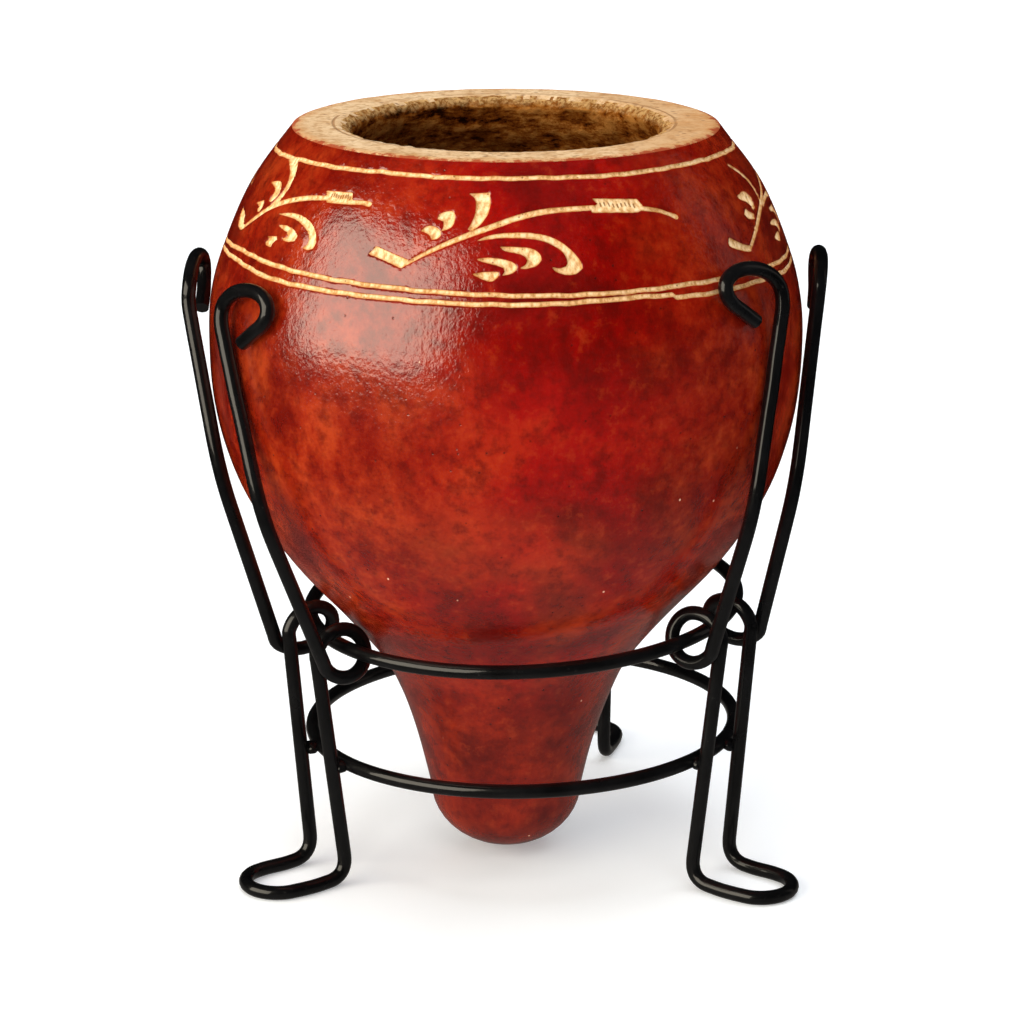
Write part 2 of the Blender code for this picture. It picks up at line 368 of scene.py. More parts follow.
def shell_section():
    """(radius, height) up the inside, over the rim and down the outside to the tip."""
    top = RIM_HEIGHT - MOUTH_CHAMFER
    inside = [(0.0, CAVITY_FLOOR), (3.0, CAVITY_FLOOR + 0.1), (6.0, CAVITY_FLOOR + 0.4),
              (9.0, CAVITY_FLOOR + 1.1), (12.0, CAVITY_FLOOR + 2.3), (14.5, CAVITY_FLOOR + 4.4)]
    for h in np.concatenate([np.linspace(CAVITY_FLOOR + 8, 76, 14), np.linspace(76.6, top - 0.5, 60)]):
        closing = max(0.0, (h - 96.0) / (top - 96.0))
        inside.append((float(skin_radius(h) - WALL) * (1 - closing**2)
                       + MOUTH_RADIUS * closing**2, h))
    chamfer = [(MOUTH_RADIUS, top), (MOUTH_RADIUS + 0.25, top + 0.6),
               (MOUTH_RADIUS + 0.7, top + 1.1), (MOUTH_RADIUS + MOUTH_CHAMFER, RIM_HEIGHT - 0.1)]
    flat = [(r, RIM_HEIGHT) for r in np.linspace(MOUTH_RADIUS + 2.1, RIM_RADIUS - 0.7, 8)]
    corner = [(RIM_RADIUS - 0.35, RIM_HEIGHT - 0.06)]
    runs = np.concatenate([np.linspace(0.35, CARVED_RUN, 34), np.linspace(CARVED_RUN, RUN[-1], 64)[1:]])
    outside = [(float(skin_radius(height_at(s))), float(height_at(s))) for s in runs]
    tip = []
    for a in np.linspace(0, math.pi / 2, 13)[1:-1]:
        tip.append((NECK_RADIUS * math.cos(a),
                    NECK_HEIGHT - (NECK_HEIGHT - TIP_HEIGHT) * math.sin(a)))
    return inside + chamfer + flat + corner + outside + tip + [(0.0, TIP_HEIGHT)]


section = shell_section()
print("section of", len(section), "points")

# %% Helpers for modelling
def start_fresh():
    """Nothing selected and nothing being edited, so that an operator acts on one piece."""
    if bpy.context.object and bpy.context.object.mode != "OBJECT":
        bpy.ops.object.mode_set(mode="OBJECT")
    bpy.ops.object.select_all(action="DESELECT")


def pick(piece):
    start_fresh()
    piece.select_set(True)
    bpy.context.view_layer.objects.active = piece


def settle(piece):
    """Bring the object's own place into its mesh."""
    pick(piece)
    bpy.ops.object.transform_apply(location=True, rotation=True, scale=True)


def select_faces(piece, wanted):
    """Leave selected only the faces that the test accepts, for the next edit."""
    bpy.ops.object.mode_set(mode="OBJECT")
    chosen = 0
    for vertex in piece.data.vertices:
        vertex.select = False
    for edge in piece.data.edges:
        edge.select = False
    for face in piece.data.polygons:
        face.select = bool(wanted(face))
        chosen += face.select
    bpy.ops.object.mode_set(mode="EDIT")
    return chosen


# %% Spin the section
COLUMNS = 288

start_fresh()
bpy.ops.mesh.primitive_plane_add(size=0.002)
gourd = bpy.context.object
gourd.name = "carved_gourd"
bpy.ops.object.mode_set(mode="EDIT")
bpy.ops.mesh.merge(type="CENTER")
bpy.ops.transform.translate(value=(section[0][0] * MM, 0, section[0][1] * MM))
for (r0, h0), (r1, h1) in zip(section, section[1:]):
    bpy.ops.mesh.extrude_region_move(
        TRANSFORM_OT_translate={"value": ((r1 - r0) * MM, 0, (h1 - h0) * MM)})
bpy.ops.mesh.select_all(action="SELECT")
bpy.ops.mesh.spin(steps=COLUMNS, angle=math.tau, center=(0, 0, 0), axis=(0, 0, 1))
bpy.ops.mesh.select_all(action="SELECT")
bpy.ops.mesh.remove_doubles(threshold=0.000002)
bpy.ops.mesh.normals_make_consistent(inside=False)
bpy.ops.object.mode_set(mode="OBJECT")
print("shell of", len(gourd.data.polygons), "faces")

# %% [markdown]
# ## The carved vine
# A carver scribes lines round the belly and cuts a vine between them. The stem and the lines
# are strokes of a gouge, kept as rows of (azimuth, distance below the rim, width). A leaf is
# cut in two or three passes, so it has a flat end and a sharp tip: it is kept as an outline
# of (azimuth, distance below the rim). Azimuths are in degrees from the front, the rest in mm.

# %% Front vine
FRONT_STROKES = {
    "stem": ((-20.2, 16.4, 0.45), (-17.1, 14.96, 0.6), (-12.5, 13.2, 0.75), (-7.8, 11.7, 0.85),
             (-2.9, 10.4, 0.9), (2.1, 9.15, 0.92), (7.2, 8.3, 0.9), (12.5, 7.96, 0.85),
             (19.6, 7.9, 0.8)),
    "stem_end": ((30.9, 8.7, 0.75), (34.8, 9.3, 0.7), (37.6, 10.1, 0.65), (39.4, 10.75, 0.85)),
}
FRONT_LEAVES = {
    "foot": ((-27.2, 14.1), (-24.9, 14.56), (-19.6, 15.69), (-20.0, 16.46), (-20.9, 17.02),
             (-24.4, 16.18), (-28.6, 15.37), (-27.8, 14.73)),
    "leaf_top": ((-8.6, 5.32), (-3.6, 5.1), (-3.3, 6.79), (-3.7, 8.26), (-4.5, 9.34), (-5.5, 10.25),
                 (-7.1, 11.01), (-8.0, 10.85), (-7.2, 9.74), (-6.6, 8.36), (-6.6, 6.83),
                 (-7.2, 5.92)),
    "leaf_middle": ((-11.5, 8.04), (-10.9, 8.75), (-10.9, 9.82), (-11.6, 10.73), (-13.6, 11.31),
                    (-13.2, 10.6), (-13.3, 9.82), (-14.7, 9.48), (-14.6, 8.75), (-13.3, 8.27)),
    "leaf_small": ((-18.0, 11.42), (-16.8, 10.59), (-15.2, 10.57), (-13.9, 11.04), (-13.4, 11.83),
                   (-14.0, 12.37), (-15.3, 12.63), (-15.9, 12.03), (-16.8, 11.65)),
    "comma_big": ((-6.2, 12.58), (-3.4, 11.65), (1.0, 11.26), (5.4, 11.33), (9.3, 11.96),
                  (12.1, 13.17), (13.9, 14.49), (15.1, 15.83), (15.3, 16.68), (14.2, 17.34),
                  (12.7, 17.59), (11.1, 17.4), (9.7, 16.93), (9.1, 16.24), (10.5, 16.54),
                  (11.9, 16.32), (12.3, 15.66), (11.7, 14.42), (10.1, 13.45), (7.8, 12.61),
                  (4.9, 12.19), (1.5, 12.06), (-1.9, 12.13)),
    "comma_second": ((-1.2, 13.29), (2.0, 13.33), (5.3, 13.6), (6.9, 14.4), (7.2, 15.25),
                     (6.2, 16.08), (4.2, 16.48), (2.5, 16.44), (3.9, 15.94), (4.3, 15.28),
                     (3.7, 14.7), (1.9, 14.24), (-0.2, 13.93)),
    "comma_third": ((-6.1, 15.17), (-3.7, 14.87), (-0.9, 15.05), (1.4, 15.52), (2.4, 16.2),
                    (1.9, 16.87), (0.7, 17.26), (-0.9, 17.5), (-0.2, 16.93), (-0.4, 16.39),
                    (-1.8, 16.0), (-4.1, 15.61)),
    "leaf_low": ((-6.7, 17.29), (-4.5, 16.96), (-1.7, 16.87), (-1.2, 17.2), (-1.6, 17.77),
                 (-2.7, 18.31), (-3.8, 18.18), (-5.2, 17.77)),
    "binding": ((19.9, 6.66), (20.9, 6.52), (30.8, 7.18), (31.8, 8.42), (30.2, 9.26), (24.8, 8.95),
                (19.0, 8.68), (18.9, 8.01), (20.7, 7.36)),
}
print("front vine:", len(FRONT_STROKES), "strokes and", len(FRONT_LEAVES), "outlines")

# %% Left vine
LEFT_STROKES = {
    "stem": ((-72.3, 16.4, 0.5), (-67.2, 14.1, 0.7), (-62.2, 11.8, 0.85), (-56.4, 10.05, 0.9),
             (-49.9, 8.8, 0.85), (-44.3, 8.2, 0.8)),
    "stem_end": ((-36.1, 8.15, 0.75), (-33.5, 8.0, 0.7), (-31.6, 8.1, 0.85)),
}
LEFT_LEAVES = {
    "foot": ((-79.4, 14.24), (-76.3, 14.5), (-74.3, 15.2), (-73.5, 15.89), (-70.8, 16.06),
             (-73.3, 16.98), (-77.1, 16.76), (-79.0, 15.42)),
    "leaf_top": ((-67.9, 4.3), (-63.1, 3.79), (-60.4, 5.23), (-59.2, 6.82), (-59.0, 8.72),
                 (-60.1, 10.82), (-62.7, 11.51), (-60.8, 9.36), (-60.7, 7.66), (-62.4, 6.13),
                 (-65.2, 5.0)),
    "leaf_middle": ((-69.1, 8.43), (-64.5, 7.65), (-62.2, 8.57), (-61.6, 9.76), (-63.0, 11.02),
                    (-64.4, 11.04), (-64.1, 9.79), (-65.4, 8.9)),
    "leaf_small": ((-70.8, 12.16), (-66.9, 11.2), (-66.1, 12.0), (-66.4, 13.14), (-67.9, 13.19),
                   (-68.3, 12.42)),
    "comma_big": ((-58.4, 12.37), (-53.5, 11.57), (-48.9, 11.55), (-45.3, 12.3), (-43.2, 13.5),
                  (-42.3, 14.72), (-42.5, 15.86), (-44.2, 16.27), (-45.7, 16.06), (-44.4, 15.35),
                  (-44.8, 14.3), (-46.6, 13.28), (-49.3, 12.53), (-52.8, 12.23)),
    "comma_second": ((-56.2, 13.79), (-52.9, 13.5), (-49.9, 13.84), (-48.1, 14.59), (-48.6, 15.41),
                     (-51.0, 15.8), (-53.3, 15.55), (-51.2, 15.06), (-52.0, 14.47), (-54.2, 14.2)),
    "comma_third": ((-58.5, 15.86), (-55.0, 15.38), (-54.5, 15.92), (-55.5, 16.43), (-55.7, 17.19),
                    (-57.6, 17.17), (-58.5, 16.64), (-57.2, 16.2)),
    "binding": ((-45.2, 7.02), (-37.2, 6.66), (-35.9, 8.56), (-43.5, 8.85)),
}
print("left vine:", len(LEFT_STROKES), "strokes and", len(LEFT_LEAVES), "outlines")

# %% [markdown]
# The carver repeats the vine all the way round. The right one is seen edge on, so only its
# near half is measured, and its far half is the front vine's, turned. Two more vines behind
# close the band.

# %% Right and rear vines
def turned(shapes, by, lower=0.0, names=None):
    """The same cuts made again further round the gourd, and a little lower."""
    return {name: tuple((point[0] + by, point[1] + lower) + tuple(point[2:]) for point in shape)
            for name, shape in shapes.items() if names is None or name in names}


RIGHT_TURN, RIGHT_LOWER = 80.0, 1.0
REAR_TURNS = (159.0, 236.0)
RIGHT_STROKES = {
    "stem": ((59.3, 17.8, 0.6), (64.5, 15.7, 0.75), (70.3, 13.7, 0.85), (80.0, 11.6, 0.8),
             (90.0, 9.8, 0.85), (99.0, 9.0, 0.8)),
    "leaf_top": ((68.4, 5.3, 0.55), (72.9, 7.6, 0.8), (74.8, 9.85, 0.9), (74.6, 11.9, 0.7),
                 (73.5, 13.0, 0.45)),
    **turned(FRONT_STROKES, RIGHT_TURN, RIGHT_LOWER, {"stem_end"}),
}
RIGHT_LEAVES = {
    "leaf_middle": ((62.6, 10.06), (67.4, 9.76), (69.8, 11.11), (69.0, 12.73), (67.5, 12.97),
                    (66.7, 11.68), (63.8, 10.8)),
    "leaf_small": ((63.9, 12.15), (65.0, 12.79), (66.7, 13.39), (66.2, 14.2), (63.4, 13.81),
                   (62.2, 12.86)),
    "foot": ((52.9, 15.27), (56.7, 16.78), (60.2, 17.57), (58.6, 18.3), (52.7, 16.88),
             (52.1, 16.01)),
    **turned(FRONT_LEAVES, RIGHT_TURN, RIGHT_LOWER,
             {"comma_big", "comma_second", "comma_third", "leaf_low", "binding"}),
}
vines = [(FRONT_STROKES, FRONT_LEAVES), (LEFT_STROKES, LEFT_LEAVES),
         (RIGHT_STROKES, RIGHT_LEAVES)]
vines += [(turned(FRONT_STROKES, by), turned(FRONT_LEAVES, by)) for by in REAR_TURNS]
STROKES = [shape for strokes, _ in vines for shape in strokes.values()]
LEAVES = [shape for _, leaves in vines for shape in leaves.values()]

# A row of nicks crosses each binding: where the row starts and ends.
FRONT_NICKS = {"row": ((21.5, 7.63), (29.6, 8.2))}
NICK_ROWS = [FRONT_NICKS["row"], ((-43.2, 7.75), (-37.6, 7.6)),
             turned(FRONT_NICKS, RIGHT_TURN, RIGHT_LOWER)["row"]]
NICK_ROWS += [turned(FRONT_NICKS, by)["row"] for by in REAR_TURNS]
NICKS_IN_ROW = 9

# Lines round the gourd. They wander as hand-cut lines do, and the lowest one was started
# again a little lower at the front right, where the knife had run into its neighbour.
LINES = (
    {"width": 0.74, "at": ((-86, 4.6), (-59, 3.5), (-43, 3.2), (-31, 2.85), (-15, 2.95), (8, 2.85),
                           (26, 3.1), (45, 3.1), (55, 3.15), (70, 3.35), (83, 3.9), (140, 3.2),
                           (190, 3.4), (230, 3.1))},
    {"width": 0.70, "at": ((-89, 20.5), (-67, 19.25), (-54, 19.45), (-41, 19.6), (-24, 19.8),
                           (-7, 20.1), (6, 20.35), (15, 20.45), (25, 20.55), (38, 20.6),
                           (45, 20.8), (65, 21.4), (76, 21.75), (110, 21.0), (150, 20.3),
                           (190, 19.8), (230, 20.0))},
    {"width": 0.72, "at": ((-86, 21.5), (-68, 20.95), (-53.5, 21.45), (-41, 21.4), (-23, 21.35),
                           (-7, 21.5), (6, 21.6), (15, 21.45), (25, 21.42), (33.6, 21.7),
                           (34.2, 22.2), (44.5, 22.5), (63.5, 22.75), (73.5, 23.35), (110, 22.4),
                           (150, 21.8), (190, 21.3), (230, 21.5))},
)
print("strokes", len(STROKES), "outlines", len(LEAVES), "lines", len(LINES))

# %% [markdown]
# For each point of the skin we need to know how far it is inside or outside of the nearest
# cut. This signed distance then does two jobs: it sinks the vertices into the gourd, and
# the material reads it to swap lacquer for bare wood with a clean edge.

# %% Distance to strokes and lines
FAR = 99.0


def around_from(azimuth, start):
    """Degrees from a start to each azimuth, the short way round."""
    return (azimuth - start + 180) % 360 - 180


def off_segment(a, b, azimuth, run, radius):
    """Distance in mm to a straight piece, the nearest part of it, and the sides of both."""
    px, py = np.radians(around_from(azimuth, a[0])) * radius, run - a[1]
    dx, dy = np.radians(b[0] - a[0]) * radius, b[1] - a[1]
    t = np.clip((px * dx + py * dy) / np.maximum(dx * dx + dy * dy, 1e-9), 0, 1)
    return np.hypot(px - t * dx, py - t * dy), t, (px, py), (dx, dy)


def distance_to_stroke(stroke, azimuth, run, radius):
    """Signed distance in mm from points to a stroke of varying width, negative inside."""
    best = np.full(azimuth.shape, FAR)
    fine = through(stroke, 6)
    for a, b in zip(fine, fine[1:]):
        away, t, _, _ = off_segment(a, b, azimuth, run, radius)
        best = np.minimum(best, away - (a[2] + t * (b[2] - a[2])) / 2)
    return best


def distance_to_line(line, azimuth, run):
    a = np.array([p[0] for p in line["at"]], float)
    s = np.array([p[1] for p in line["at"]], float)
    wave = 0.04 * np.sin(np.radians(azimuth) * 37) + 0.03 * np.sin(np.radians(azimuth) * 61 + 1)
    round_again = np.concatenate([a - 360, a, a + 360])
    level = np.interp(around_from(azimuth, 0), round_again, np.concatenate([s, s, s]))
    return np.abs(run - level - wave) - line["width"] / 2


# %% Distance to an outline
def curved_outline(corners, steps=3):
    """The outline with smooth sides; a corner that turns sharply stays a corner."""
    p = np.array(corners, float)
    scale = np.array([math.radians(43.0), 1.0])
    n = len(p)
    sharp = []
    for i in range(n):
        into, out = (p[i] - p[i - 1]) * scale, (p[(i + 1) % n] - p[i]) * scale
        cosine = into @ out / (np.linalg.norm(into) * np.linalg.norm(out))
        sharp.append(cosine < 0.6)
    fine = []
    for i in range(n):
        b, c = p[i], p[(i + 1) % n]
        a = 2 * b - c if sharp[i] else p[i - 1]
        d = 2 * c - b if sharp[(i + 1) % n] else p[(i + 2) % n]
        fine += list(between(a, b, c, d, steps))
    return fine


def distance_to_outline(outline, azimuth, run, radius):
    """Signed distance in mm from points to a closed outline, negative inside."""
    best = np.full(azimuth.shape, FAR)
    inside = np.zeros(azimuth.shape, bool)
    for a, b in zip(outline, outline[1:] + outline[:1]):
        away, _, (px, py), (dx, dy) = off_segment(a, b, azimuth, run, radius)
        best = np.minimum(best, away)
        crossing = (py >= 0) != (py >= dy)
        height = dy if abs(dy) > 1e-9 else 1e-9
        inside ^= crossing & (px < dx * py / height)
    return np.where(inside, -best, best)


OUTLINES = [curved_outline(leaf) for leaf in LEAVES]
print("points on the outlines:", sum(len(outline) for outline in OUTLINES))

# %% Distance to the whole carving
def close_to(shape, azimuth, margin=4.0):
    """Which points lie near enough to a shape to be worth measuring."""
    a = np.array([point[0] for point in shape])
    return np.abs(around_from(azimuth, a.mean())) < np.ptp(a) / 2 + margin


def carving_distance(azimuth, run, radius):
    """Nearest of all the lines, strokes and outlines, for arrays of points."""
    nearest = np.full(azimuth.shape, FAR)
    for line in LINES:
        nearest = np.minimum(nearest, distance_to_line(line, azimuth, run))
    for shapes, measure in ((STROKES, distance_to_stroke), (OUTLINES, distance_to_outline)):
        for shape in shapes:
            near = close_to(shape, azimuth)
            found = measure(shape, azimuth[near], run[near], radius[near])
            nearest[near] = np.minimum(nearest[near], found)
    return nearest


def nick_distance(azimuth, run, radius):
    """Distance to the short nicks that cross the bindings."""
    nearest = np.full(azimuth.shape, FAR)
    for (a0, s0), (a1, s1) in NICK_ROWS:
        near = close_to(((a0, s0), (a1, s1)), azimuth)
        for i in range(NICKS_IN_ROW):
            t = i / (NICKS_IN_ROW - 1)
            a, s = a0 + (a1 - a0) * t, s0 + (s1 - s0) * t + 0.12 * math.sin(5 * i)
            nick = ((a, s - 0.28, 0.2), (a + 0.12, s + 0.26, 0.16))
            found = distance_to_stroke(nick, azimuth[near], run[near], radius[near])
            nearest[near] = np.minimum(nearest[near], found)
    return nearest


SKIN_TOLERANCE = 0.08


def skin_points(mesh):
    """Azimuth from the front, run below the rim, radius and height of every vertex."""
    flat = np.empty(len(mesh.vertices) * 3)
    mesh.vertices.foreach_get("co", flat)
    x, y, z = flat.reshape(-1, 3).T / MM
    radius = np.hypot(x, y)
    on_skin = np.abs(radius - skin_radius(z)) < SKIN_TOLERANCE
    return np.degrees(np.arctan2(x, -y)), run_at(z), radius, z, on_skin


# %% Subdivide the faces near a stroke
def refine(reach):
    """Halve the faces of the carved band that have a stroke within reach."""
    azimuth, run, radius, height, on_skin = skin_points(gourd.data)
    near = np.full(len(azimuth), FAR)
    band = on_skin & (run < CARVED_RUN) & (height < RIM_HEIGHT - 0.1)
    on_band = azimuth[band], run[band], radius[band]
    near[band] = np.minimum(np.abs(carving_distance(*on_band)), np.abs(nick_distance(*on_band)))
    chosen = select_faces(gourd, lambda face: all(near[v] < reach for v in face.vertices))
    bpy.ops.mesh.subdivide(number_cuts=1)
    bpy.ops.object.mode_set(mode="OBJECT")
    print("refined", chosen, "faces")


pick(gourd)
refine(0.95)
refine(0.36)

# %% [markdown]
# The new vertices lie on flat faces, so they are put back on the round skin before the
# carving sinks them. A calabash isn't perfectly round either: a slow swell of a tenth of a
# millimetre or two breaks up the reflections as the real skin does.

# %% Cut the strokes
CUT_DEPTH = 0.34
SWELL = 0.16

azimuth, run, radius, height, on_skin = skin_points(gourd.data)
band = on_skin & (run < CARVED_RUN) & (height < RIM_HEIGHT - 0.1)
distance, nicks = np.full(len(azimuth), 5.0), np.full(len(azimuth), 5.0)
distance[band] = np.clip(carving_distance(azimuth[band], run[band], radius[band]), -3, 5)
nicks[band] = np.clip(nick_distance(azimuth[band], run[band], radius[band]), -3, 5)
sink = np.clip((0.03 - distance) / 0.22, 0, 1)
sink = CUT_DEPTH * sink * sink * (3 - 2 * sink)
for i, vertex in enumerate(gourd.data.vertices):
    if not on_skin[i] or radius[i] < 0.5:
        continue
    spot = vertex.co / MM
    swell = SWELL * (noise.noise(spot * 0.055) + 0.5 * noise.noise(spot * 0.13))
    exact = float(skin_radius(spot.z)) if band[i] else radius[i]
    scale = (exact + swell * min(1.0, (RIM_HEIGHT - spot.z) / 4) - sink[i]) / radius[i]
    vertex.co.x *= scale
    vertex.co.y *= scale
for name, values in (("carving", distance), ("nicks", nicks)):
    mark = gourd.data.attributes.new(name, "FLOAT", "POINT")
    mark.data.foreach_set("value", values)
print("deepest cut %.2f mm" % sink.max(), "triangles",
      sum(len(f.vertices) - 2 for f in gourd.data.polygons))

# %% [markdown]
# The saw leaves the rim nearly flat, but the soft flesh tears at its inner edge, and the
# scraped lining is full of fibres that lie round the hollow. Here vertices are moved a
# little, more towards the mouth. The height of the fibres is kept as an attribute, so that
# the colour can follow them: the pulp's own streaky brown, with the ridges painted pale as
# painted highlight and the gaps between them painted dark as painted shade.

# %% Rough rim and lining
SAW_MARKS = 0.05
FIBRE_DEPTH = 0.75
TORN_DEPTH = 0.48
TORN_BELOW_RIM = 5.0
CHIP_DEPTH = 0.28

fibre_height = np.zeros(len(gourd.data.vertices))
for i, vertex in enumerate(gourd.data.vertices):
    if radius[i] < 0.5 or on_skin[i] and (height[i] < 60 or radius[i] > RIM_RADIUS - 1):
        continue
    spot = vertex.co / MM
    reach = math.hypot(spot.x, spot.y)
    c, s = spot.x / reach, spot.y / reach
    if reach > MOUTH_RADIUS + MOUTH_CHAMFER + 0.2 and spot.z > RIM_HEIGHT - 0.5:
        grain = noise.noise(Vector((c * 14, s * 14, reach * 0.4)))
        vertex.co.z += (SAW_MARKS * grain - 0.04) * MM
        continue
    long_fibres = noise.noise(Vector((c * 4, s * 4, spot.z * 0.55)))
    short_fibres = noise.noise(Vector((c * 13, s * 13, spot.z * 0.95 + 7)))
    torn = noise.noise(Vector((c * 9 + 3, s * 9, 2.0))) + noise.noise(Vector((c * 17, s * 17, 5.0)))
    edge = max(0.0, 1 - (RIM_HEIGHT - spot.z) / TORN_BELOW_RIM)
    fibres = 0.6 * long_fibres + 0.6 * short_fibres
    fibre_height[i] = fibres + 0.35 * edge * torn
    scale = (reach - FIBRE_DEPTH * fibres * (1 - 0.5 * edge) + TORN_DEPTH * edge * torn) / reach
    vertex.co.x *= scale
    vertex.co.y *= scale
    chip = min(0.0, noise.noise(Vector((c * 19, s * 19, 1.0))))
    vertex.co.z += CHIP_DEPTH * MM * edge * chip
fibre_mark = gourd.data.attributes.new("fibres", "FLOAT", "POINT")
fibre_mark.data.foreach_set("value", fibre_height)
print("fibres from %.2f to %.2f" % (fibre_height.min(), fibre_height.max()))

# %% [markdown]
# ## Finish of the skin
# The gourd is stained red and lacquered. The stain takes unevenly: deep red clouds down the
# front, orange low on the belly where it is thin, and dark pits and pale flecks all over.
# Towards the left and right edges a brown mottle is laid over the red: partly stain, and
# partly a painted sheen for the dull haze that the lacquer reflects there. It is mixed from
# noises of several sizes, because a stain runs in large clouds and sinks into fine grain at
# the same time. The lacquer follows a pebbled grain. Where the carving distance is below
# zero, the tree shows bare wood instead: cream, with dark pores and fibres, and without gloss.

# %% Stain under the lacquer
def stain(skin):
    """The red of the skin, and a mask of its pits."""
    clouds = skin.noise(52, 5, 0.6, distortion=0.5)
    patches = skin.noise(24, 3, 0.55, distortion=0.4)
    grain = skin.noise(420, 4, 0.65)
    red = skin.ramp(clouds, (0.32, (0.10, 0.0015, 0.0006)), (0.46, (0.21, 0.0012, 0.0003)),
                    (0.58, (0.27, 0.0018, 0.0003)), (0.72, (0.33, 0.012, 0.0015)))
    # Painted sheen: towards the left and right edges a brown mottle is laid over the red, partly stain and
    # partly the dull haze the lacquer reflects there.
    side_sheen_mask = skin.maths("ABSOLUTE", skin.minus(skin.along("X"), AXIS.x + 0.007))
    brown = skin.ramp(skin.noise(110, 6, 0.72), (0.38, (0.10, 0.005, 0.0012)),
                      (0.50, (0.21, 0.016, 0.003)), (0.66, (0.37, 0.046, 0.008)))
    side_sheen_mask = skin.range(skin.plus(side_sheen_mask, skin.times(patches, 0.02)), 0.017, 0.036, 0.0, 0.66)
    red = skin.mix(side_sheen_mask, red, brown)
    low = skin.range(skin.along("Z"), 0.072, 0.050)
    thin = skin.times(skin.range(patches, 0.46, 0.64), low)
    red = skin.mix(skin.times(thin, 0.75), red, (0.42, 0.052, 0.008))
    neck = skin.range(skin.along("Z"), 0.044, 0.026)
    red = skin.mix(skin.times(neck, 0.75), red, skin.ramp(
        skin.noise(150, 4, 0.65), (0.34, (0.08, 0.003, 0.001)), (0.66, (0.25, 0.014, 0.002))))
    bruised = skin.range(skin.noise(34, 4, 0.6, at=skin.stretched(1.0, 1.3, 0.9)), 0.60, 0.70)
    red = skin.mix(skin.times(bruised, 0.5), red, (0.07, 0.003, 0.002))
    red = skin.mix(skin.range(grain, 0.52, 0.34, 0, 0.6), red, (0.08, 0.002, 0.001))
    red = skin.mix(skin.range(grain, 0.56, 0.72, 0, 0.3), red, (0.42, 0.04, 0.006))
    pitted = skin.spots(460.0, 0.10, 0.04, (120, 1, 0.45, 0.53))
    red = skin.mix(skin.times(pitted, 0.7), red, (0.03, 0.004, 0.002))
    flecked = skin.spots(240.0, 0.055, 0.035, (70, 1, 0.56, 0.62),
                         at=skin.stretched(1.3, 1.1, 0.9))
    return skin.mix(flecked, red, (0.75, 0.42, 0.27)), pitted


def bare_wood(wood):
    """The pale flesh that the knife uncovers, and its fibres."""
    fibre = wood.noise(700, 3, 0.6, at=wood.stretched(2.2, 2.2, 0.8))
    flesh = wood.ramp(fibre, (0.36, (0.52, 0.27, 0.10)), (0.5, (0.78, 0.51, 0.25)),
                      (0.64, (0.90, 0.67, 0.40)))
    pored = wood.spots(1100.0, 0.22, 0.12, (400, 2, 0.48, 0.56))
    flesh = wood.mix(wood.times(pored, 0.75), flesh, (0.16, 0.07, 0.02))
    nicked = wood.range(wood.attribute("nicks"), 0.08, 0.0, 0, 0.9)
    return wood.mix(nicked, flesh, (0.20, 0.08, 0.02)), fibre


# %% Lacquered skin with the carving
def skin_finish():
    skin = Finish("red_lacquer_with_carving")
    red, pitted = stain(skin)
    wood, fibre = bare_wood(skin)
    edge = skin.plus(skin.attribute("carving"), skin.wobble(skin.noise(1500, 3, 0.6), 0.09))
    bare = skin.range(edge, 0.015, -0.05)
    # The sloping wall of each cut is painted darker brown: partly bruised wood, and partly painted shade in
    # the groove.
    bruise_and_groove_shade = skin.range(edge, -0.03, -0.26, 0.75, 0)
    wood = skin.mix(bruise_and_groove_shade, wood, (0.46, 0.17, 0.03))
    pebble = skin.noise(1300, 3, 0.6, at=skin.stretched(1, 1, 0.8))
    relief = skin.bump(pebble, 0.00017, 0.55)
    relief = skin.bump(skin.noise(1900, 2, 0.5), 0.00005, 0.5, over=relief)
    relief = skin.bump(skin.minus(1.0, pitted), 0.00008, 0.6, over=relief)
    wooden = skin.bump(fibre, 0.0002, 0.8)
    normal = skin.mix(bare, relief, wooden)
    rough = skin.range(skin.noise(90, 3), 0.3, 0.7, 0.40, 0.52)
    return skin.set(Base_Color=skin.mix(bare, red, wood),
                    Roughness=skin.plus(rough, skin.times(bare, 0.32)),
                    Normal=normal, IOR=1.5, Specular_IOR_Level=0.0,
                    Coat_Weight=skin.minus(1.0, bare), Coat_Roughness=0.15,
                    Coat_IOR=1.7, Coat_Normal=relief)


skin_material = skin_finish()
print("skin finish:", len(skin_material.node_tree.nodes), "nodes")

# %% [markdown]
# The sawn rim is cream wood with brown specks. Red stain has crept in over its outer edge,
# and the tool that opened the mouth has left a fine circle just outside of it.

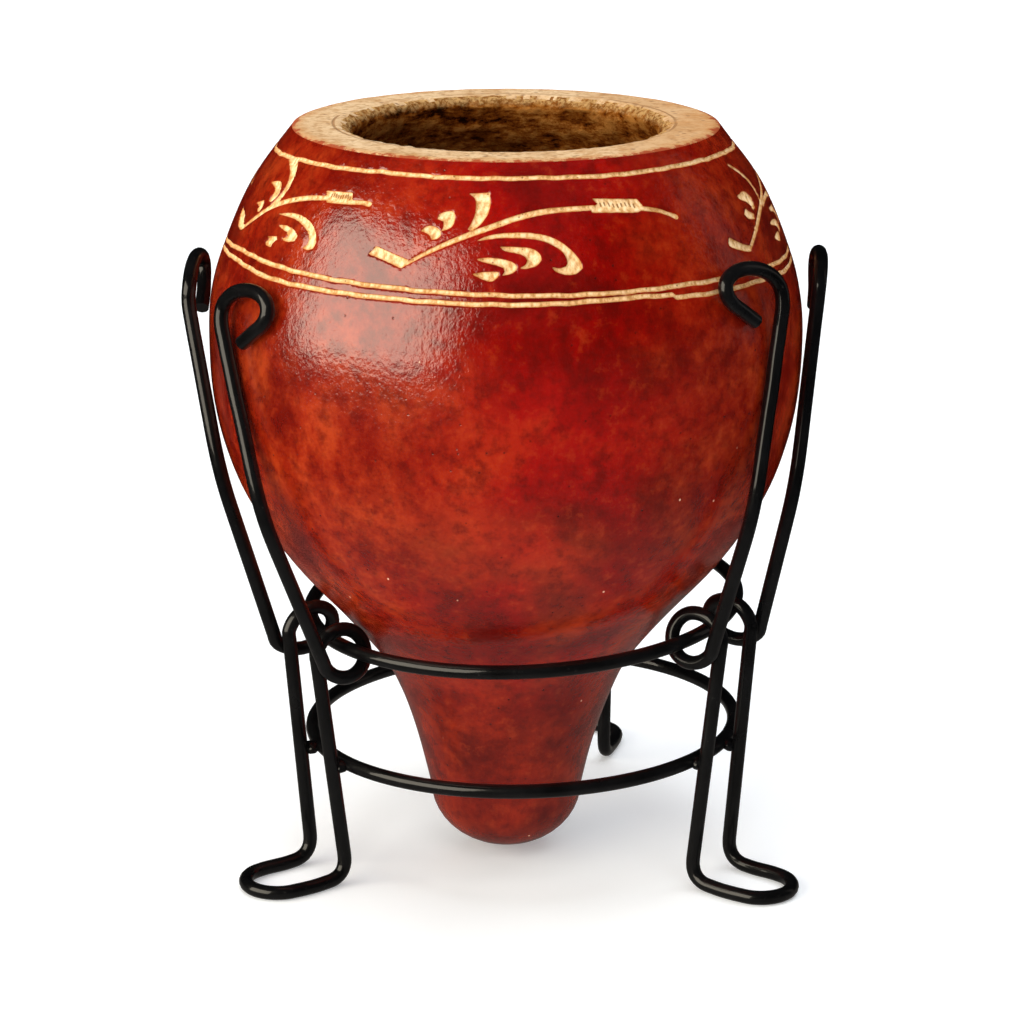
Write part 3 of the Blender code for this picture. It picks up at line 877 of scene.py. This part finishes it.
# %% Sawn rim
def rim_finish():
    rim = Finish("sawn_rim")
    soft = rim.noise(75, 4, 0.6)
    wood = rim.ramp(soft, (0.3, (0.50, 0.31, 0.15)), (0.5, (0.64, 0.44, 0.25)),
                    (0.72, (0.70, 0.53, 0.33)))
    grain = rim.noise(900, 3, 0.65)
    wood = rim.mix(rim.range(grain, 0.52, 0.36, 0, 0.7), wood, (0.36, 0.18, 0.06))
    dirt = rim.noise(210, 5, 0.7)
    wood = rim.mix(rim.range(dirt, 0.54, 0.68, 0, 0.6), wood, (0.42, 0.22, 0.08))
    warm = rim.plus(rim.along("X"), rim.times(dirt, 0.04))
    wood = rim.mix(rim.range(warm, 0.030, 0.052, 0, 0.65), wood, (0.47, 0.22, 0.07))
    specked = rim.spots(560.0, 0.28, 0.14, (160, 2, 0.44, 0.52),
                        at=rim.stretched(1.0, 1.6, 1.0))
    wood = rim.mix(rim.times(specked, 0.8), wood, (0.14, 0.055, 0.02))
    outer = rim.plus(rim.off_axis(), rim.wobble(rim.noise(420, 6, 0.75), 0.0060))
    wood = rim.mix(rim.range(outer, 0.0298, 0.0312, 0, 0.5), wood, (0.48, 0.21, 0.06))
    wood = rim.mix(rim.range(outer, 0.0314, 0.0319, 0, 0.9), wood, (0.30, 0.035, 0.006))
    scratch = rim.maths("ABSOLUTE", rim.minus(rim.off_axis(-0.2, 0.55), 0.02585))
    faint = rim.range(rim.noise(110, 2), 0.40, 0.52)
    scratched = rim.times(rim.range(scratch, 0.00026, 0.00010), faint)
    wood = rim.mix(rim.times(scratched, 0.75), wood, (0.30, 0.14, 0.05))
    relief = rim.bump(grain, 0.00022, 0.6)
    relief = rim.bump(rim.minus(1.0, scratched), 0.0002, 0.8, over=relief)
    return rim.set(Base_Color=wood, Roughness=rim.range(soft, 0.3, 0.7, 0.7, 0.85), Normal=relief,
                   Specular_IOR_Level=0.25)


# %% Scraped lining
def lining_finish():
    lining = Finish("scraped_pulp")
    streaks = lining.noise(620, 6, 0.75, at=lining.stretched(0.8, 0.8, 2.4), distortion=0.4)
    clumps = lining.noise(1300, 5, 0.7)
    # The pulp's colour follows the fibres' height: partly its own streaky brown, and partly painted light,
    # pale on the ridges as painted highlight and nearly black in the gaps as painted shade.
    height = lining.plus(lining.times(lining.attribute("fibres"), 0.22),
                         lining.plus(lining.times(streaks, 0.68), lining.times(clumps, 0.32)))
    # Painted light: the lining is painted lighter towards the mouth, where light falls in, and lighter
    # towards its right side, which faces the window on the left.
    painted_mouth_light = lining.plus(lining.range(lining.along("Z"), 0.116, 0.098, 0.02, 0.115),
                      lining.range(lining.along("X"), 0.0, 0.02, 0, 0.05))
    pulp = lining.ramp(lining.plus(height, painted_mouth_light), (0.41, (0.020, 0.004, 0.0006)),
                       (0.47, (0.16, 0.036, 0.004)), (0.55, (0.36, 0.105, 0.013)),
                       (0.65, (0.60, 0.25, 0.055)))
    patch = lining.noise(95, 3, 0.6)
    pulp = lining.mix(lining.range(patch, 0.45, 0.65, 0.0, 0.5), pulp, (0.10, 0.026, 0.003))
    top = lining.plus(lining.along("Z"), lining.times(lining.noise(800, 4, 0.7), 0.002))
    pulp = lining.mix(lining.range(top, 0.1168, 0.1176, 0, 0.85), pulp, lining.ramp(
        clumps, (0.42, (0.30, 0.12, 0.03)), (0.56, (0.68, 0.42, 0.17))))
    relief = lining.bump(streaks, 0.0009, 0.9)
    relief = lining.bump(clumps, 0.0006, 0.8, over=relief)
    return lining.set(Base_Color=pulp, Roughness=lining.range(patch, 0.3, 0.7, 0.7, 0.9),
                      Normal=relief, Specular_IOR_Level=0.0)


# %% Give each face its finish
RIM_FINISH, LINING_FINISH = 1, 2

for finish in (skin_material, rim_finish(), lining_finish()):
    gourd.data.materials.append(finish)
for face in gourd.data.polygons:
    spot = face.center / MM
    reach = math.hypot(spot.x, spot.y)
    outside = face.normal.x * spot.x + face.normal.y * spot.y > 0
    if spot.z > RIM_HEIGHT - 0.35 and reach > MOUTH_RADIUS + 1.2 and face.normal.z > 0.6:
        face.material_index = RIM_FINISH
    elif ((not outside or reach < MOUTH_RADIUS + 1.3) and spot.z > CAVITY_FLOOR - 1
          and reach < skin_radius(spot.z) - 2):
        face.material_index = LINING_FINISH
print("finishes", [m.name for m in gourd.data.materials])

# %% Put the gourd in its place
gourd.location = AXIS
settle(gourd)
bpy.ops.object.shade_smooth_by_angle(angle=math.radians(50))
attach(gourd, "root")
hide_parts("gourd")
print("gourd", [round(v / MM, 1) for v in gourd.dimensions])

# %% [markdown]
# ## The wire stand
# The stand is 2.2 mm steel wire, bent cold and dipped in black enamel. Two rings tie three
# legs together. Each leg is one wire: a curl on the belly, an arm, one turn round the upper
# ring, a foot, and the same again on the other side. A wire is a path with a round section,
# so a curve with a bevel is the shortest way to it. The route is the CAD's, with more points.

# %% Sizes of the stand
WIRE_RADIUS = 1.1
CLEARANCE = 0.3
STAND_CENTRE = (2.7, 4.8)
RING_RADIUS = 33.8
UPPER_RING = {"height": 40.5, "lean_x": 2.5, "lean_y": 1.2}
LOWER_RING = {"height": 20.1, "lean_x": 1.2, "lean_y": -1.0}

# Leg: distances from the stand's axis, and the wires' offsets from the leg's middle.
FOOT_RADIUS = 34.5
FOOT_LENGTH = 14.5
FOOT_HALF_WIDTH = 5.15
FOOT_BEND = 4.0
LEG_HALF_WIDTH = 4.95
EYE_SIDESTEP = 2.65
EYE_CENTRE = 34.1
EYE_TURN = 339.0
ARM_BEND = 6.0

# Curl at the top of an arm: a leaning ellipse drawn on the gourd's skin, with a tail.
CURL_HALF_LENGTH = 5.8
CURL_HALF_HEIGHT = 3.2
CURL_LEAN = 13.0
CURL_SWEEP = (180.0, -60.0)
CURL_START = 1.2
CURL_TAIL = 4.0

# Each side of a leg. Eye: radius, how much wider the turn begins and ends, and how far
# it sits above the ring. Bend: azimuth, height and gap to the skin. Top: the same, with
# the gap at the tip of the curl and how far the curl leans out in 10 mm of height.
LEGS = (
    {"name": "leg_left", "azimuth": -152.0, "toe": 7.5, "reach": 0.1, "sides": {
        -1: {"eye": (3.5, 0.9, 2.3, 0.3), "bend": (-163.9, 65.9, 1.4),
             "top": (-173.0, 90.5, 2.2, 0.3, 0.8)},
        1: {"eye": (3.4, 0.9, 0.8, -0.3), "bend": (-140.2, 64.5, 3.2),
            "top": (-152.7, 91.5, 1.0, 0.3, 0.0)}}},
    {"name": "leg_right", "azimuth": -31.5, "toe": -6.0, "reach": -0.3, "sides": {
        -1: {"eye": (3.5, 0.9, 0.8, 0.15), "bend": (-38.1, 64.9, 2.8),
             "top": (-30.9, 95.2, 1.7, 0.3, 0.0)},
        1: {"eye": (3.45, 0.9, 1.2, -0.45), "bend": (-17.0, 64.5, 2.5),
            "top": (-10.4, 91.5, 1.5, 1.2, 2.6)}}},
    {"name": "leg_back", "azimuth": 75.0, "toe": 0.0, "reach": 0.0, "sides": {
        -1: {"eye": (3.45, 0.9, 1.0, 0.0), "bend": (67.0, 62.5, 3.4),
             "top": (63.0, 91.0, 1.2, 0.3, 0.0)},
        1: {"eye": (3.45, 0.9, 1.0, -0.2), "bend": (82.5, 62.5, 3.4),
            "top": (87.0, 91.0, 1.2, 0.3, 0.0)}}},
)
print("legs", [leg["name"] for leg in LEGS])

# %% Route of a wire
def rounded(points, radius, steps=4):
    """A path with its inner corners rounded off."""
    path = [points[0]]
    for before, corner, after in zip(points, points[1:], points[2:]):
        start = corner + (before - corner).normalized() * radius
        stop = corner + (after - corner).normalized() * radius
        for i in range(steps + 1):
            t = i / steps
            path.append(start * (1 - t)**2 + corner * 2 * t * (1 - t) + stop * t**2)
    return path + [points[-1]]


def radius_off_skin(height, gap):
    """Distance from the axis to a wire's middle, square to the skin's slope."""
    slope = float(skin_radius(height + 0.5) - skin_radius(height - 0.5))
    return float(skin_radius(height)) + (WIRE_RADIUS + gap) * math.hypot(1, slope)


def on_skin_at(azimuth, height, gap):
    radius = radius_off_skin(height, gap)
    angle = math.radians(azimuth)
    return Vector((radius * math.cos(angle), radius * math.sin(angle), height))


def ring_height(ring, x, y):
    return (ring["height"] + x * math.tan(math.radians(ring["lean_x"]))
            + y * math.tan(math.radians(ring["lean_y"])))


def beside_leg(leg, out, across, height):
    """A point given by its distance out along the leg and across it."""
    angle = math.radians(leg["azimuth"])
    c, s = math.cos(angle), math.sin(angle)
    out += leg["reach"]
    return Vector((STAND_CENTRE[0] + out * c - across * s,
                   STAND_CENTRE[1] + out * s + across * c, height))


def clear_of_gourd(point):
    least = radius_off_skin(point.z, CLEARANCE)
    radius = math.hypot(point.x, point.y)
    if radius >= least:
        return point
    return Vector((point.x * least / radius, point.y * least / radius, point.z))


# %% Foot, eye, curl and half a leg
def foot(leg, side, eye_height, eye_start):
    """Half of the foot on the table, its bend, and the wire up to the eye."""
    toe = math.radians(leg["toe"])
    half_turn = []
    for i in range(6):
        a = math.radians(90) * i / 5
        half_turn.append((FOOT_LENGTH - FOOT_HALF_WIDTH * (1 - math.cos(a)),
                          FOOT_HALF_WIDTH * math.sin(a)))
    half_turn.append((0.0, FOOT_HALF_WIDTH))
    flat = []
    for along, across in half_turn:
        across *= side
        flat.append(beside_leg(leg, FOOT_RADIUS + along * math.cos(toe) - across * math.sin(toe),
                               along * math.sin(toe) + across * math.cos(toe), WIRE_RADIUS))
    up = beside_leg(leg, EYE_CENTRE + eye_start, side * LEG_HALF_WIDTH, eye_height)
    bend = rounded([flat[-2], flat[-1], up], FOOT_BEND, 5)
    return flat[:-2] + bend[:-1]


def eye(leg, side, eye_height, radius, wide_start, wide_end):
    """One turn round the upper ring, stepping to the side as it closes."""
    turn = []
    for i in range(19):
        t = i / 18
        a = math.radians(EYE_TURN) * t
        reach = (radius + wide_start * max(0.0, 1 - t / 0.3)**2
                 + wide_end * max(0.0, (t - 0.7) / 0.3)**2)
        step = min(1.0, max(0.0, (t - 0.3) / 0.55))
        across = LEG_HALF_WIDTH + EYE_SIDESTEP * step * step * (3 - 2 * step)
        turn.append(beside_leg(leg, EYE_CENTRE + reach * math.cos(a), side * across,
                               eye_height + reach * math.sin(a)))
    return turn


def curl(side, azimuth, height, gap, end_gap, lean_out):
    """The arm's end: over the top of a leaning ellipse, then a straight tail."""
    lean = math.radians(CURL_LEAN)
    drawn = []
    for i in range(15):
        a = math.radians(CURL_SWEEP[0] + (CURL_SWEEP[1] - CURL_SWEEP[0]) * i / 14)
        x, y = CURL_HALF_LENGTH * math.cos(a), CURL_HALF_HEIGHT * math.sin(a)
        drawn.append(Vector((x * math.cos(lean) - y * math.sin(lean),
                             x * math.sin(lean) + y * math.cos(lean))))
    start = drawn[0] - Vector((0.0, CURL_START))
    drawn = [spot - start for spot in drawn]
    drawn.append(drawn[-1] + (drawn[-1] - drawn[-2]).normalized() * CURL_TAIL)
    path = []
    for i, spot in enumerate(drawn):
        t = i / (len(drawn) - 1)
        swung = side * math.degrees(spot.x / float(skin_radius(height + spot.y)))
        path.append(on_skin_at(azimuth + swung, height + spot.y,
                               gap + (end_gap - gap) * t**2 + lean_out * spot.y / 10))
    return path


def half_leg(leg, side):
    """One side of a leg, from the middle of the foot to the tip of the curl."""
    half = leg["sides"][side]
    radius, wide_start, wide_end, lift = half["eye"]
    place = beside_leg(leg, EYE_CENTRE, 0.0, 0.0)
    eye_height = lift + ring_height(UPPER_RING, place.x - STAND_CENTRE[0],
                                    place.y - STAND_CENTRE[1])
    turn = eye(leg, side, eye_height, radius, wide_start, wide_end)
    tip = on_skin_at(*half["top"][:3])
    arm = rounded([turn[-1], on_skin_at(*half["bend"]), tip], ARM_BEND)
    straight = [arm[-2].lerp(tip, i / 6) for i in range(1, 6)]
    held = [clear_of_gourd(point) for point in arm[1:-1] + straight + curl(side, *half["top"])]
    return foot(leg, side, eye_height, radius + wide_start) + turn + held


# %% [markdown]
# The CAD route is a row of straight steps. Bent wire is smooth, so a curve is laid through
# those points that takes their uneven spacing into account. A long step is a stretch that
# the bender left straight. It gets a point near each end, so that the curve runs into it
# straight.

# %% Smooth a route
def pinned(points, longest=6.0, inset=1.2):
    """The points, with one more near each end of every long step."""
    route = [points[0]]
    for a, b in zip(points, points[1:]):
        length = (b - a).length
        if length > longest:
            route += [a.lerp(b, inset / length), a.lerp(b, 1 - inset / length)]
        route.append(b)
    return route


def smooth_route(points, spacing=0.55):
    """Points of a curve through the route's points, about a set spacing apart."""
    points = pinned(points)
    p = [points[0] * 2 - points[1]] + points + [points[-1] * 2 - points[-2]]
    route = []
    for a, b, c, d in zip(p, p[1:], p[2:], p[3:]):
        t1, t2, t3 = (b - a).length, (c - b).length, (d - c).length
        into = (b - a) / t1 - (c - a) / (t1 + t2) + (c - b) / t2
        out = (c - b) / t2 - (d - b) / (t2 + t3) + (d - c) / t3
        steps = max(1, round(t2 / spacing))
        for i in range(steps):
            t = i / steps
            route.append(b * (2 * t**3 - 3 * t**2 + 1) + into * t2 * (t**3 - 2 * t**2 + t)
                         + c * (3 * t**2 - 2 * t**3) + out * t2 * (t**3 - t**2))
    return route + [points[-1]]


def bend_wire(name, route, closed=False):
    """A round wire along the route, made a mesh; an open wire has flat caps at its ends."""
    start_fresh()
    shape = bpy.data.curves.new(name, "CURVE")
    shape.dimensions = "3D"
    shape.bevel_depth = WIRE_RADIUS * MM
    shape.bevel_resolution = 6
    shape.use_fill_caps = not closed
    spline = shape.splines.new("POLY")
    spline.points.add(len(route) - 1)
    for knot, point in zip(spline.points, route):
        knot.co = (*(AXIS + point * MM), 1)
    spline.use_cyclic_u = closed
    spline.use_smooth = True
    wire = bpy.data.objects.new(name, shape)
    bpy.context.collection.objects.link(wire)
    pick(wire)
    bpy.ops.object.convert(target="MESH")
    wire = bpy.context.object
    bpy.ops.object.mode_set(mode="EDIT")
    bpy.ops.mesh.select_all(action="SELECT")
    bpy.ops.mesh.remove_doubles(threshold=0.000001)
    bpy.ops.mesh.normals_make_consistent(inside=False)
    bpy.ops.object.mode_set(mode="OBJECT")
    return wire


# %% [markdown]
# ## Enamel
# Dipped enamel is black with a soft gloss. It gathers in slow waves along the wire, picks up
# dust, and is a little rougher where fingers have rubbed it.

# %% Black enamel
enamel = Finish("black_enamel")
waves = enamel.noise(160, 3, 0.55)
dust = enamel.noise(1400, 2, 0.6)
rubbed = enamel.noise(60, 3, 0.6)
black = enamel.ramp(waves, (0.3, (0.0018, 0.0018, 0.002)), (0.7, (0.005, 0.005, 0.0055)))
black = enamel.mix(enamel.range(dust, 0.68, 0.76, 0, 0.25), black, (0.05, 0.048, 0.045))
orange_peel = enamel.bump(waves, 0.0002, 0.3)
orange_peel = enamel.bump(dust, 0.00003, 0.3, over=orange_peel)
enamel.set(Base_Color=black, Roughness=enamel.range(rubbed, 0.3, 0.7, 0.24, 0.36),
           Normal=orange_peel, Coat_Weight=0.6, Coat_Roughness=0.06, Coat_Normal=orange_peel,
           IOR=1.45, Specular_IOR_Level=0.16)
print("enamel ready")

# %% Legs and rings
def wire_piece(name, route, node, closed=False):
    wire = bend_wire(name, route, closed)
    wire.data.materials.clear()
    wire.data.materials.append(enamel.material)
    bpy.ops.object.shade_smooth_by_angle(angle=math.radians(40))
    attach(wire, "root")
    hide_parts(node)
    print(name, len(wire.data.polygons), "faces")
    return wire


LEG_ROUTES = {}
for leg in LEGS:
    route = smooth_route(half_leg(leg, -1)[::-1] + half_leg(leg, 1)[1:])
    LEG_ROUTES[leg["name"]] = route
    wire_piece("bent_" + leg["name"], route, leg["name"])

RING_ROUTES = {}
for name, ring in (("ring_upper", UPPER_RING), ("ring_lower", LOWER_RING)):
    route = []
    for i in range(240):
        a = math.tau * i / 240
        x, y = RING_RADIUS * math.cos(a), RING_RADIUS * math.sin(a)
        route.append(Vector((STAND_CENTRE[0] + x, STAND_CENTRE[1] + y, ring_height(ring, x, y))))
    RING_ROUTES[name] = route
    wire_piece("round_" + name, route, name, closed=True)

# %% [markdown]
# Small welds hold the lower ring to the legs. Enamel has run over them, so each is a soft
# bead that fills the notch between the two wires.

# %% Welds on the lower ring
def nearest_spots(route, ring):
    """Where the two wires of a leg come closest to a ring, one spot for each wire."""
    low = [(min((p - q).length for q in ring), i) for i, p in enumerate(route)]
    half = len(route) // 2
    return [min(low[:half])[1], min(low[half:])[1]]


def weld(name, middle, along, sideways):
    """A flattened bead between two wires, a little uneven."""
    start_fresh()
    bpy.ops.mesh.primitive_uv_sphere_add(segments=24, ring_count=14, radius=1.0)
    bead = bpy.context.object
    bead.name = name
    for vertex in bead.data.vertices:
        spot = vertex.co.copy()
        spot *= 1 + 0.16 * noise.noise(spot * 1.6 + middle)
        moved = along * spot.x * 1.5 + sideways * spot.y * 1.15 + Vector((0, 0, spot.z * 0.95))
        vertex.co = AXIS + (middle + moved) * MM
    bead.data.materials.append(enamel.material)
    bpy.ops.object.shade_smooth()
    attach(bead, "root")
    return bead


ring = RING_ROUTES["ring_lower"]
for leg in LEGS:
    route = LEG_ROUTES[leg["name"]]
    for side, i in zip(("a", "b"), nearest_spots(route, ring)):
        on_leg = route[i]
        on_ring = min(ring, key=lambda q: (q - on_leg).length)
        outward = (on_leg - on_ring).normalized()
        along = outward.cross(Vector((0, 0, 1))).normalized()
        weld("weld_%s_%s" % (leg["name"], side), (on_leg + on_ring) / 2, along, outward)
print("welds done")

# %% [markdown]
# ## Sizes at the end
# The dressed model's box is printed beside the frame's, so that the two can be compared.

# %% Print both boxes
box_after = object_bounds()
for name, (low, high) in (("frame", box_before), ("dressed", box_after)):
    print(name, [round((b - a) / MM, 2) for a, b in zip(low, high)])
